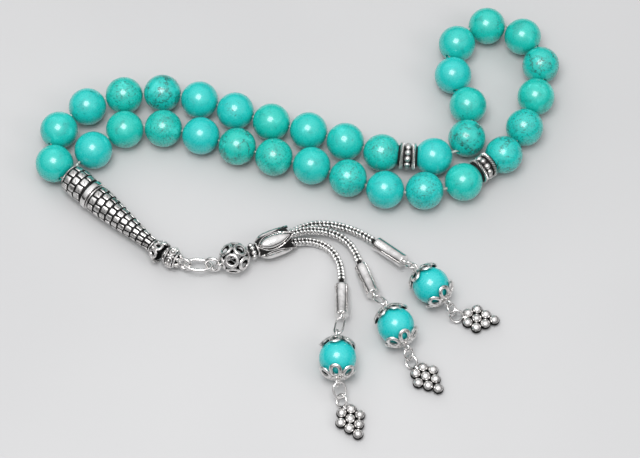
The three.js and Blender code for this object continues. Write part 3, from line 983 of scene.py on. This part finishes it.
# ---- the imame --------------------------------------------------------------------------------
@dataclass
class Imame:
    """The elongated head piece: scaled barrel, plain collar, scaled shaft and open flower."""

    place: Matrix
    body: str = "imame_and_string"
    scales_round: int = 10
    seam: float = 0.4
    head: Profile = Profile(((0.0, 3.2), (1.2, 3.52), (3.7, 3.66), (6.3, 3.55), (7.4, 3.3)))
    shaft: Profile = Profile(((9.3, 3.35), (9.9, 3.5), (12.5, 3.45), (20.0, 2.66), (26.0, 1.92),
                              (29.5, 1.6), (31.2, 1.6)))
    rise: float = 0.3
    head_rows: tuple[float, float, int] = (1.75, 2.1, 3)
    shaft_rows: tuple[float, float, int] = (11.0, 2.02, 10)
    petals: int = 7

    def build(self) -> None:
        """Makes the imame's separate pieces."""
        self.build_head()
        self.build_collar()
        self.build_shaft()
        self.build_flower()

    def scale_rows(self, piece: Piece, profile: Profile, first: float, pitch: float,
                   rows: int) -> None:
        """Lays rows of raised scales on a turned ground, each row half a scale on.

        Args:
            piece: The piece that takes them.
            profile: The ground's outer line.
            first: Place of the first row along the axis.
            pitch: Distance between rows.
            rows: Number of rows.
        """
        pad = pillow()
        chance = random.Random(rows)
        for row in range(rows):
            along = first + row * pitch
            width = profile.radius(along) * TURN / self.scales_round
            for i in range(self.scales_round):
                turn = (i + 0.5 * (row % 2)) / self.scales_round * TURN
                wobble = chance.uniform(0.95, 1.04)
                size = Matrix.Diagonal(((pitch - self.seam) * wobble,
                                        (width - self.seam) * wobble, self.rise, 1.0))
                skew = spun(chance.uniform(4, 11), "Z")
                flat = bent(pad, lambda co, m=skew @ size: m @ co)
                laid = bent(flat, profile.wrapping(along, turn))
                piece.add(laid, Silver.WORN, patina_and_shade=self.edge_patina(profile))

    def edge_patina(self, profile: Profile) -> PatinaAndShade:
        """Darkens a scale towards the ground that it stands on."""
        def darkness(co: Vector) -> float:
            lift = math.hypot(co.y, co.z) - profile.radius(co.x)
            return clamped((0.8 * self.rise - lift) / (0.25 * self.rise))
        return darkness

    def build_head(self) -> None:
        """Makes the barrel that the beads meet, hollow at its mouth."""
        piece = Piece("imame_head")
        ground = [(6.4, 0.0), (6.4, 1.5), (2.5, 1.5), (0.0, 2.85), (-0.05, 3.05)]
        piece.add(turned(ground + list(self.head.points) + [(7.75, 3.3), (7.75, 0.0)], 44),
                  Silver.BLACKENED_AND_SHADE)
        piece.add(rope_ring(3.2, 0.27, lays=20, steps=120), Silver.WORN, shift(0.3))
        self.scale_rows(piece, self.head, *self.head_rows)
        piece.set_down(self.place, self.body, "oxidised_silver", ["imame_body"])

    def build_collar(self) -> None:
        """Makes the plain polished band."""
        piece = Piece("imame_collar")
        rim = 4.08
        outline = ([(7.7, 3.0), (7.7, rim - 0.3)] + arc((7.95, rim - 0.25), 0.25, 180, 90, 4)
                   + [(8.45, rim + 0.02)] + arc((8.95, rim - 0.25), 0.25, 90, 0, 4)
                   + [(9.2, rim - 0.3), (9.2, 3.0)])
        piece.add(turned(outline, 64, closed=True), Silver.POLISHED)
        piece.set_down(self.place, self.body, "oxidised_silver")

    def build_shaft(self) -> None:
        """Makes the tapered shaft."""
        piece = Piece("imame_shaft")
        piece.add(turned([(9.15, 0.0), (9.15, 3.3)] + list(self.shaft.points)
                         + [(31.6, 1.6), (31.6, 0.0)], 44), Silver.BLACKENED_AND_SHADE)
        piece.add(hoop(9.6, 3.55, 0.2, 48), Silver.WORN)
        self.scale_rows(piece, self.shaft, *self.shaft_rows)
        piece.add(hoop(30.6, 1.85, 0.22), Silver.WORN)
        piece.set_down(self.place, self.body, "oxidised_silver")

    def build_flower(self) -> None:
        """Makes the flared flower of open petal rings that the knob sits in."""
        piece = Piece("imame_flower")
        cup = [(31.0, 0.0), (31.0, 1.7), (31.8, 1.95), (33.4, 2.5), (33.5, 2.3), (32.2, 1.4),
               (31.8, 0.0)]
        piece.add(turned(cup, 40), Silver.BLACKENED_AND_SHADE)
        flare = Profile(((30.6, 1.95), (31.6, 2.25), (33.0, 2.8), (34.6, 3.05)))
        petal = oval_ring(2.1, 1.6, 0.4, 20)
        for i in range(self.petals):
            turn = i / self.petals * TURN
            piece.add(bent(petal, flare.wrapping(32.5, turn)), Silver.WORN)
            piece.add(granule(0.4), Silver.WORN,
                      Matrix.Translation(around(31.6, turn + TURN / self.petals / 2, 2.3)))
        piece.set_down(self.place, self.body, "oxidised_silver")


@dataclass
class Finial:
    """The filigree knob in the flower, and the eye that carries the links."""

    place: Matrix
    body: str = "finial"
    knob: float = 2.62
    knob_at: float = 3.6
    eye_at: float = 7.4
    eye: float = 1.45
    wire: float = 0.5
    eye_roll: float = 62.0

    def build(self) -> None:
        """Makes the knob and its eye."""
        middle = shift(self.knob_at)
        knob = Piece("finial_knob")
        knob.add(turned([(-0.5, 0.0), (-0.5, 0.55), (2.0, 0.55), (2.0, 0.0)], 20),
                 Silver.BLACKENED_AND_SHADE)
        bm = bmesh.new()
        bmesh.ops.create_uvsphere(bm, u_segments=32, v_segments=20, radius=self.knob - 0.35)
        knob.add(kept(bm), Silver.BLACKENED_AND_SHADE, middle)
        curl = wire_ring(0.78, 0.3, 20, 8)
        for i in range(6):
            knob.add(bent(curl, on_sphere(self.knob - 0.15, 88, i * 60 + 12)), Silver.WORN, middle)
            seat = on_sphere(self.knob - 0.05, 88, i * 60 + 12)(Vector())
            knob.add(granule(0.42), Silver.WORN, middle @ Matrix.Translation(seat))
            for polar, size in ((38, 0.56), (72, 0.34), (88, 0.5), (104, 0.34), (140, 0.4)):
                seat = on_sphere(self.knob - 0.13, polar, i * 60 + 42)(Vector())
                knob.add(granule(size), Silver.WORN, middle @ Matrix.Translation(seat))
        for polar, wire in ((57, 0.24), (122, 0.24), (22, 0.3), (158, 0.3)):
            angle, reach = math.radians(polar), self.knob - 0.1
            knob.add(hoop(reach * math.cos(angle), reach * math.sin(angle), wire),
                     Silver.WORN, middle)
        knob.set_down(self.place, self.body, "oxidised_silver", ["imame_finial"])
        eye = Piece("finial_eye")
        eye.add(wire_ring(self.eye, self.wire, 36, 12), Silver.WIRE,
                shift(self.eye_at) @ spun(self.eye_roll))
        eye.set_down(self.place, self.body, "oxidised_silver")


# ---- links, ball and cap ----------------------------------------------------------------------
@dataclass
class TasselCap:
    """The looped pin, openwork ball, granule collar and leafed bud at the tassel's head."""

    place: Matrix
    pin_at: float = -4.2
    pin_roll: float = 48.0
    ball: float = 3.75
    leaf_length: float = 9.8
    leaf_foot: float = 6.4
    leaves: int = 4
    granules: int = 8
    bud: Profile = Profile(((6.1, 1.5), (6.6, 1.95), (7.4, 2.5), (9.0, 2.85), (11.0, 2.95),
                            (13.5, 2.95), (15.2, 2.92)))

    def pin_loop(self) -> Vector:
        """Returns the middle of the pin's loop, in millimetres."""
        return self.place @ Vector((self.pin_at, 0, 0))

    def build(self) -> None:
        """Makes the pin, ball, collar and bud."""
        self.build_pin()
        self.build_ball()
        self.build_collar()
        self.build_bud()

    def build_pin(self) -> None:
        """Makes the pin through the ball and the loop that takes the round link."""
        piece = Piece("head_pin")
        piece.add(turned([(self.pin_at + 0.9, 0.0), (self.pin_at + 0.9, 0.3), (6.3, 0.3),
                          (6.3, 0.0)], 16), Silver.WIRE)
        piece.add(wire_ring(1.0, 0.3, 28, 10), Silver.WIRE,
                  shift(self.pin_at) @ spun(90 + self.pin_roll))
        piece.set_down(self.place, "tassel_cap", "oxidised_silver")

    def build_ball(self) -> None:
        """Makes the ball of twelve touching rings, set as a dodecahedron's faces are, with painted
        shade on their inner sides.
        """
        piece = Piece("openwork_silver_ball")
        belt = math.degrees(math.atan(2))
        seats = [(0.0, 0.0), (180.0, 0.0)]
        seats += [(belt, i * 72.0) for i in range(5)]
        seats += [(180 - belt, i * 72.0 + 36) for i in range(5)]
        ring = wire_ring(self.ball * math.radians(26), 0.52, 26, 10, 0.62)
        for polar, turn in seats:
            # Every ring's inner side, facing the hollow, is darkened: painted shade inside the
            # ball.
            piece.add(bent(ring, on_sphere(self.ball, polar, turn)), Silver.WORN,
                      patina_and_shade=lambda co: 1.0 if co.length < self.ball - 0.06 else 0.0)
        piece.set_down(self.place, "openwork_ball", "silver", ["openwork_ball"])

    def build_collar(self) -> None:
        """Makes the ring of granules between ball and bud."""
        piece = Piece("granule_collar")
        piece.add(turned([(4.3, 0.3), (4.3, 1.35), (6.2, 1.35), (6.2, 0.3)], 24, closed=True),
                  Silver.BLACKENED_AND_SHADE)
        ball = granule(0.68)
        for i in range(self.granules):
            piece.add(ball, Silver.WIRE, spun(i / self.granules * 360) @ shift(5.0, 0, 1.65),
                      low_side(0.2, -0.2))
        piece.set_down(self.place, "tassel_cap", "oxidised_silver")

    def leaf(self) -> bpy.types.Mesh:
        """Makes one pointed leaf: a raised rim, a dark line inside it and a domed middle."""
        bm = bmesh.new()
        bmesh.ops.create_grid(bm, x_segments=30, y_segments=26, size=1.0)
        for vert in bm.verts:
            share, across = (vert.co.x + 1) / 2, vert.co.y
            width = 5.8 * share ** 0.55 * (1 - share) ** 0.85
            tip = max(0.0, (share - 0.36) / 0.64) ** 1.6
            foot = max(0.0, (0.36 - share) / 0.36) ** 1.6
            inner = min(1.0, math.hypot(across, max(tip, foot) * 0.96))
            vert.co = Vector((share * self.leaf_length, across * width, self.relief(inner)))
        bmesh.ops.remove_doubles(bm, verts=bm.verts, dist=0.002)
        skirt = bmesh.ops.extrude_edge_only(
            bm, edges=[edge for edge in bm.edges if edge.is_boundary])["geom"]
        bmesh.ops.translate(bm, vec=(0, 0, -0.6),
                            verts=[item for item in skirt if isinstance(item, bmesh.types.BMVert)])
        bmesh.ops.holes_fill(bm, edges=[edge for edge in bm.edges if edge.is_boundary])
        bmesh.ops.recalc_face_normals(bm, faces=bm.faces)
        return kept(bm)

    @staticmethod
    def relief(inner: float) -> float:
        """Returns a leaf's height at a share of the way from its middle to its edge."""
        dome = 0.72 * math.sqrt(max(0.0, 1 - (inner / 0.78) ** 2))
        rim = 0.42 * math.exp(-((inner - 0.95) / 0.08) ** 2)
        return 0.1 + max(dome, rim)

    def build_bud(self) -> None:
        """Makes the bud and its four leaves, whose tips reach past the mouth."""
        piece = Piece("tassel_cap_bud")
        hollow = [(15.2, 2.75), (14.4, 2.75), (14.4, 0.0)]
        piece.add(turned([(6.1, 0.0)] + list(self.bud.points) + hollow, 40), Silver.BLACKENED_AND_SHADE)
        piece.add(hoop(6.3, 1.72, 0.24, 32), Silver.WORN)
        leaf = bent(self.leaf(), self.on_bud)
        for i in range(self.leaves):
            piece.add(leaf, Silver.POLISHED, spun(i * 360 / self.leaves + 14), self.leaf_patina)
        piece.set_down(self.place, "tassel_cap", "oxidised_silver", ["tassel_cap"])

    def on_bud(self, co: Vector) -> Vector:
        """Lays a leaf's point on the bud, its width following the bud's girth."""
        along = self.leaf_foot + co.x
        return around(along, co.y / 3.0, self.bud.radius(along) - 0.1 + co.z)

    def leaf_patina(self, co: Vector) -> float:
        """Darkens a leaf's sunken line and its foot."""
        lift = math.hypot(co.y, co.z) - self.bud.radius(co.x) + 0.1
        return clamped((0.42 - lift) / 0.16)


@dataclass
class LinkRun:
    """The oval link on the finial's eye and the round link on the head pin's loop."""

    finial: Finial
    cap: TasselCap
    oval_width: float = 3.6
    oval_wire: float = 0.46
    oval_roll: float = -12.0
    round_radius: float = 1.9
    round_wire: float = 0.45
    round_roll: float = 66.0
    round_yaw: float = -3.0
    round_pitch: float = 25.0
    gap: float = 0.55
    stouter: float = 0.015

    def build(self) -> None:
        """Makes both links where they hang in each other."""
        yaw, pitch = self.round_yaw, self.round_pitch
        start = pointed(self.cap.pin_loop(), yaw, pitch)
        middle = start @ Vector((-self.round_radius, 0, 0))
        far = start @ Vector((-2 * self.round_radius, 0, 0))
        Piece("round_link").add(
            wire_ring(self.round_radius, self.round_wire + self.stouter, 36, 12),
            Silver.WIRE).set_down(
            pointed(middle, yaw, pitch, self.round_roll), "link_round", "silver",
            ["link_round"])
        eye = self.finial.place @ Vector((self.finial.eye_at, 0, 0))
        reach = (far - eye).normalized()
        end = far + reach * (self.oval_wire + self.round_wire + self.gap)
        Piece("oval_link").add(
            oval_ring((end - eye).length, self.oval_width, self.oval_wire + self.stouter,
                      roundness=1.0),
            Silver.WIRE).set_down(
            pointed(eye.lerp(end, 0.5), *bearing(end - eye), self.oval_roll), "link_oval",
            "silver", ["link_oval"])


# ---- one tassel -------------------------------------------------------------------------------
@dataclass(frozen=True)
class TasselPlan:
    """Where one tassel's chain runs and how its drop and charm lie, in millimetres and degrees."""

    number: int
    chain: tuple[tuple[float, float, float], ...]
    tube_yaw: float
    bead: tuple[float, float, float]
    drop_yaw: float
    roll: float
    charm: tuple[float, float, float]
    charm_yaw: float
    ring_roll: float
    jump_roll: float
    petal_turn: float


PLANS = (
    TasselPlan(
        number=1,
        chain=((-3.1, -8.95, 2.75), (-1.8, -8.4, 2.6), (0.8, -7.9, 2.1), (3.6, -7.9, 1.6),
               (6.3, -8.9, 1.3), (8.5, -10.9, 1.2), (9.9, -13.7, 1.2), (10.5, -16.8, 1.5),
               (10.6, -20.6, 2.1)),
        tube_yaw=-90.5, bead=(9.5, -42.7, 5.25), drop_yaw=-90, roll=20,
        charm=(10.4, -52.8, 1.75), charm_yaw=-65.5, ring_roll=45, jump_roll=-10, petal_turn=30),
    TasselPlan(
        number=2,
        chain=((-3.5, -7.7, 4.95), (-2.2, -7.1, 4.85), (0.8, -5.9, 4.2), (4, -5.4, 3.5),
               (7.2, -5.6, 2.8), (10.2, -6.6, 2.2), (12.6, -8.6, 1.8), (14.2, -11.2, 1.7),
               (15.6, -15, 2)),
        tube_yaw=-70.5, bead=(24.2, -33.7, 5.25), drop_yaw=-65, roll=-20,
        charm=(28, -42.2, 1.85), charm_yaw=-47, ring_roll=45, jump_roll=-35, petal_turn=22),
    TasselPlan(
        number=3,
        chain=((-4.2, -6.5, 2.75), (-2.9, -5.9, 2.6), (0.2, -4.1, 2.2), (3.6, -2.9, 1.9),
               (8, -2.8, 1.6), (12.4, -3.9, 1.5), (16, -5.7, 1.7), (19.6, -8.3, 2.1)),
        tube_yaw=-41, bead=(33.4, -22.3, 5.25), drop_yaw=-48, roll=-20,
        charm=(39.8, -29.4, 1.85), charm_yaw=-5, ring_roll=45, jump_roll=-35, petal_turn=22),
)


@dataclass
class Tassel:
    """A foxtail chain, its end tube, a caged bead drop, a jump ring and a grape charm."""

    plan: TasselPlan
    chain_radius: float = 1.2
    crest_pitch: float = 0.95
    tube_radius: float = 1.85
    tube_length: float = 9.2
    tube_pitch: float = 9.0
    drop_pitch: float = -8.0
    chain_gap: float = 0.35
    loop_at: float = 6.4
    loop: float = 0.92
    loop_wire: float = 0.29
    pin: float = 0.33
    eye_width: float = 2.3
    ring_width: float = 3.2
    fine_wire: float = 0.3
    ring_gap: float = 0.32
    bead: float = 4.7
    dome: float = 5.42
    petals: int = 6
    petal_polar: float = 38.0
    charm_ring: float = 1.58
    charm_wire: float = 0.34
    granule: float = 1.38
    granule_cut: float = 1.18
    spacing: float = 2.6
    charm_rows: tuple[int, ...] = (2, 3, 2, 1)

    def build(self) -> None:
        """Makes the tassel's pieces from its head to its charm."""
        plan = self.plan
        self.drop = pointed(Vector(plan.bead), plan.drop_yaw, self.drop_pitch, plan.roll)
        self.upper = self.drop @ Vector((-self.loop_at, 0, 0))
        self.lower = self.drop @ Vector((self.loop_at, 0, 0))
        self.build_chain()
        self.build_tube()
        self.build_setting()
        self.build_bead()
        self.build_jump_ring()
        self.build_charm()

    def chain_line(self) -> list[Vector]:
        """Returns the chain's middle line, at one point for each row of crests."""
        knots = [Vector(point) for point in self.plan.chain]
        line = [knots[0]]
        for i in range(len(knots) - 1):
            before, start = knots[max(i - 1, 0)], knots[i]
            end, after = knots[i + 1], knots[min(i + 2, len(knots) - 1)]
            for step in range(1, 25):
                t = step / 24
                line.append(0.5 * (2 * start + (end - before) * t
                                   + (2 * before - 5 * start + 4 * end - after) * t * t
                                   + (3 * start - before - 3 * end + after) * t ** 3))
        spaced, run = [line[0]], 0.0
        for before, after in zip(line, line[1:]):
            run += (after - before).length
            if run >= self.crest_pitch:
                spaced.append(after)
                run = 0.0
        return spaced

    def build_chain(self) -> None:
        """Makes the foxtail chain: a black core under four ribs of slanting link crests, the core
        and the crests' inner sides painted shade.
        """
        number = self.plan.number
        line = self.chain_line()
        piece = Piece(f"foxtail_chain_{number}")
        # The black core is painted shade between the crests.
        piece.add(swept(line, self.chain_radius * 0.52, 10), Silver.BLACKENED_AND_SHADE)
        crest = strand_crest()
        size = Matrix.Diagonal((0.7, 0.36, 0.46, 1.0))
        for before, here, after in zip(line, line[1:], line[2:]):
            ahead = (after - before).normalized()
            side = Vector((0, 0, 1)).cross(ahead).normalized()
            frame = Matrix((ahead, side, ahead.cross(side))).transposed().to_4x4()
            frame.translation = here
            for turn, lean in ((42, -36), (138, 36), (222, -36), (318, 36)):
                seat = spun(turn) @ shift(z=self.chain_radius - 0.46) @ spun(lean, "Z")
                # Each crest darkens towards the core: painted shade.
                piece.add(crest, Silver.WOVEN, frame @ seat @ size, low_side(-0.1, -0.75))
        piece.set_down(Matrix(), f"chain_{number}", "silver", [f"chain_{number}"], crease=80)

    def build_tube(self) -> None:
        """Makes the plain tube that grips the chain, and the wire eye soldered in its end."""
        number = self.plan.number
        start = (pointed(Vector(self.plan.chain[-1]), self.plan.tube_yaw, self.tube_pitch)
                 @ shift(self.chain_gap))
        radius, length = self.tube_radius, self.tube_length
        piece = Piece(f"silver_end_tube_{number}")
        rim = [(0.3, 1.3), (0.05, 1.36), (0.0, 1.45)] + arc((0.14, radius - 0.12), 0.14, 180, 90, 3)
        outline = (rim + [(0.9, radius - 0.02), (1.0, radius - 0.06), (length - 0.5, radius - 0.06)]
                   + arc((length - 0.14, radius - 0.14), 0.14, 90, 0, 3)
                   + [(length, 0.42), (length + 0.8, 0.36), (length + 0.9, 0.0)])
        piece.add(turned([(0.3, 0.0)] + outline, 40), Silver.POLISHED)
        root = start @ Vector((length + 0.7, 0, 0))
        reach = self.upper - root
        eye = pointed(root.lerp(self.upper, 0.5), *bearing(reach), self.plan.roll)
        piece.add(oval_ring(reach.length, self.eye_width, self.fine_wire), Silver.WIRE,
                  start.inverted() @ eye)
        piece.set_down(start, f"chain_{number}", "silver", [f"end_tube_{number}"])

    def build_setting(self) -> None:
        """Makes the looped pin and the two caps of open petals that hold the bead, the petals'
        sides against the bead darkened with painted shade.
        """
        number = self.plan.number
        pin = Piece(f"drop_pin_{number}")
        end = self.loop_at - 0.85
        pin.add(turned([(-end, 0.0), (-end, self.pin), (end, self.pin), (end, 0.0)], 16),
                Silver.WIRE)
        for side in (-1, 1):
            pin.add(wire_ring(self.loop, self.loop_wire, 28, 10), Silver.WIRE,
                    shift(side * self.loop_at) @ spun(90))
        pin.set_down(self.drop, f"drop_{number}", "silver")
        for side, label in ((1, "lower"), (-1, "upper")):
            cap = Piece(f"petal_cap_{label}_{number}")
            facing = Matrix() if side == 1 else spun(180, "Z")
            hub = arc((0, 0), self.dome + 0.2, 0, 18, 5) + arc((0, 0), self.dome - 0.15, 18, 0, 5)
            cap.add(turned(hub[::-1], 30), Silver.WORN, facing)
            petal = bent(oval_ring(3.2, 2.4, 0.52, 26),
                         lambda co: Vector((co.x, co.y, co.z * 0.72)))
            for i in range(self.petals):
                turn = i * 360 / self.petals + self.plan.petal_turn - self.plan.roll * side
                rule = on_sphere(self.dome, self.petal_polar, turn)
                # Petal wire darkens on its side against the bead: painted shade.
                cap.add(bent(petal, rule), Silver.WORN, facing,
                        lambda co: clamped((self.dome - co.length) / 0.3))
                bead = on_sphere(self.dome + 0.1, 24, turn + 30)(Vector())
                cap.add(granule(0.3), Silver.WORN, facing @ Matrix.Translation(bead))
            replaced = [f"drop_setting_{number}"] if side == 1 else []
            cap.set_down(self.drop, f"drop_{number}", "silver", replaced)

    def build_bead(self) -> None:
        """Makes the clearer, bluer bead of the drop."""
        number = self.plan.number
        name = f"drop_bead_{number}"
        piece = Piece(f"turquoise_{name}")
        piece.add(StoneBead(radius=self.bead).shape(), STONE)
        piece.set_down(self.drop, name, "turquoise", [name],
                       {"tone": 1.0, "vein": 0.0, "speckle": 0.0})

    def build_jump_ring(self) -> None:
        """Makes the oval ring from the drop's lower loop to the charm's ring."""
        plan = self.plan
        ring = pointed(Vector(plan.charm), plan.charm_yaw, 0, plan.ring_roll)
        inward = ring.inverted() @ self.lower
        inward.z = 0
        inward.length = self.charm_ring - self.charm_wire - self.fine_wire - self.ring_gap
        reach = ring @ inward - self.lower
        place = pointed(self.lower + reach / 2, *bearing(reach), plan.jump_roll)
        Piece(f"silver_jump_ring_{plan.number}").add(
            oval_ring(reach.length, self.ring_width, self.fine_wire), Silver.WIRE).set_down(
            place, f"jump_ring_{plan.number}", "silver", [f"jump_ring_{plan.number}"])

    def build_charm(self) -> None:
        """Makes the grape charm and its ring: granules in rows of two, three, two and one with
        painted shade on their lower halves, over a black plate that paints the shade in their gaps.
        """
        plan = self.plan
        back = -plan.charm[2]
        level = back + 1.2
        piece = Piece(f"silver_grape_charm_{plan.number}")
        piece.add(wire_ring(self.charm_ring, self.charm_wire, 30, 10), Silver.WIRE,
                  spun(plan.ring_roll))
        piece.add(turned([(1.35, 0.0), (1.35, 0.5), (2.6, 0.5), (2.6, 0.0)], 14), Silver.WIRE,
                  shift(z=level / 2))
        flat = math.degrees(math.acos(-self.granule_cut / self.granule))
        outline = [(-self.granule_cut, 0.0)] + arc((0, 0), self.granule, flat, 0, 14)
        ball = bent(turned(outline, 20), lambda co: Vector((-co.z, co.y, co.x)))
        for row, count in enumerate(self.charm_rows):
            for i in range(count):
                seat = Vector((3 + row * self.spacing * math.sqrt(0.75),
                               (i - (count - 1) / 2) * self.spacing, level))
                # Each granule darkens over its lower half: painted shade.
                piece.add(ball, Silver.WORN, Matrix.Translation(seat), low_side(0.95, 0.35))
        # A flat black plate under the granules: painted shade in the gaps between them.
        web = turned([(2.6, 0.0), (3.0, 1.7), (5.2, 2.9), (7.6, 1.6), (9.6, 0.4), (9.7, 0.0)], 24)
        piece.add(bent(web, lambda co: Vector((co.x, co.y, co.z * 0.12 + level - 0.3))),
                  Silver.BLACKENED_AND_SHADE)
        piece.set_down(pointed(Vector(plan.charm), plan.charm_yaw),
                       f"grape_charm_{plan.number}", "oxidised_silver",
                       [f"grape_charm_{plan.number}"])


# ---- the studio -------------------------------------------------------------------------------
@dataclass
class Studio:
    """Pale floor, soft light and the camera."""

    aim: tuple[float, float, float] = (0.00507, -0.00304, 0.0)
    distance: float = 0.5197
    elevation: float = 61.3
    lens: float = 111.5

    def build(self) -> None:
        """Sets out the floor, the lights and the camera."""
        self.build_floor()
        self.build_world()
        self.build_lights()
        self.build_camera()

    def build_floor(self) -> None:
        """Lays the floor that the strand lies on."""
        bm = bmesh.new()
        bmesh.ops.create_grid(bm, x_segments=8, y_segments=8, size=1.6)
        mesh = kept(bm)
        mesh.materials.append(StudioFinish("pale_floor").material())
        floor = bpy.data.objects.new("floor", mesh)
        bpy.context.scene.collection.objects.link(floor)

    def build_world(self) -> None:
        """Gives the surroundings a soft fall from bright overhead to grey at the sides."""
        world = bpy.data.worlds.new("studio")
        world.use_nodes = True
        nodes, links = world.node_tree.nodes, world.node_tree.links
        background = nodes["Background"]
        place = nodes.new("ShaderNodeTexCoord")
        height = nodes.new("ShaderNodeSeparateXYZ")
        fall = nodes.new("ShaderNodeValToRGB")
        steps = fall.color_ramp.elements
        steps.new(0.6)
        for step, (rise, grey) in zip(steps, ((0.2, 0.03), (0.5, 0.6), (0.88, 1.0))):
            step.position = rise
            step.color = (grey, grey, grey * 1.01, 1)
        links.new(place.outputs["Generated"], height.inputs["Vector"])
        links.new(height.outputs["Z"], fall.inputs["Fac"])
        links.new(fall.outputs["Color"], background.inputs["Color"])
        background.inputs["Strength"].default_value = 0.95
        bpy.context.scene.world = world
        bpy.context.scene.view_settings.view_transform = "Standard"

    def build_lights(self) -> None:
        """Hangs one large key light and two fills."""
        for name, at, size, power in (
                ("key", (-0.06, -0.1, 0.56), 0.3, 2.3),
                ("fill_right", (0.6, -0.25, 0.5), 0.3, 1.0),
                ("fill_back", (-0.3, 0.65, 0.3), 0.45, 1.2)):
            light = bpy.data.lights.new(name, "AREA")
            light.shape = "SQUARE"
            light.size = size
            light.energy = power
            lamp = bpy.data.objects.new(name, light)
            lamp.visible_glossy = name == "key"
            lamp.location = at
            lamp.rotation_euler = (Vector(self.aim) - Vector(at)).to_track_quat(
                "-Z", "Y").to_euler()
            bpy.context.scene.collection.objects.link(lamp)

    def build_camera(self) -> None:
        """Stands the camera in front of the strand, looking down at it."""
        camera = bpy.data.objects.new("camera", bpy.data.cameras.new("camera"))
        camera.data.lens = self.lens
        camera.data.sensor_width = 36.0
        camera.data.sensor_fit = "HORIZONTAL"
        camera.data.clip_start = 0.01
        rise = math.radians(self.elevation)
        aim = Vector(self.aim)
        camera.location = aim + self.distance * Vector((0, -math.cos(rise), math.sin(rise)))
        camera.rotation_euler = (math.pi / 2 - rise, 0, 0)
        bpy.context.scene.collection.objects.link(camera)
        bpy.context.scene.camera = camera


def main() -> None:
    """Builds the studio and every sub-assembly."""
    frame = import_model()
    places = Places(frame["record"])
    Studio().build()
    imame = pointed(Vector((-60.9, 10.5, 4.5)), -41.8, -2.3)
    strand = Strand(places)
    strand.build_thread(imame)
    strand.build_beads()
    for number in (1, 2):
        GranulatedSpacer().build(f"spacer_{number}", places)
    Imame(imame).build()
    finial = Finial(pointed(places.at("finial_swivel"), -28, -2))
    finial.build()
    cap = TasselCap(places.along("openwork_ball_spin"))
    cap.build()
    LinkRun(finial, cap).build()
    for plan in PLANS:
        Tassel(plan).build()


if __name__ == "__main__":
    logging.basicConfig(level=logging.INFO, format="%(name)s: %(message)s")
    main()
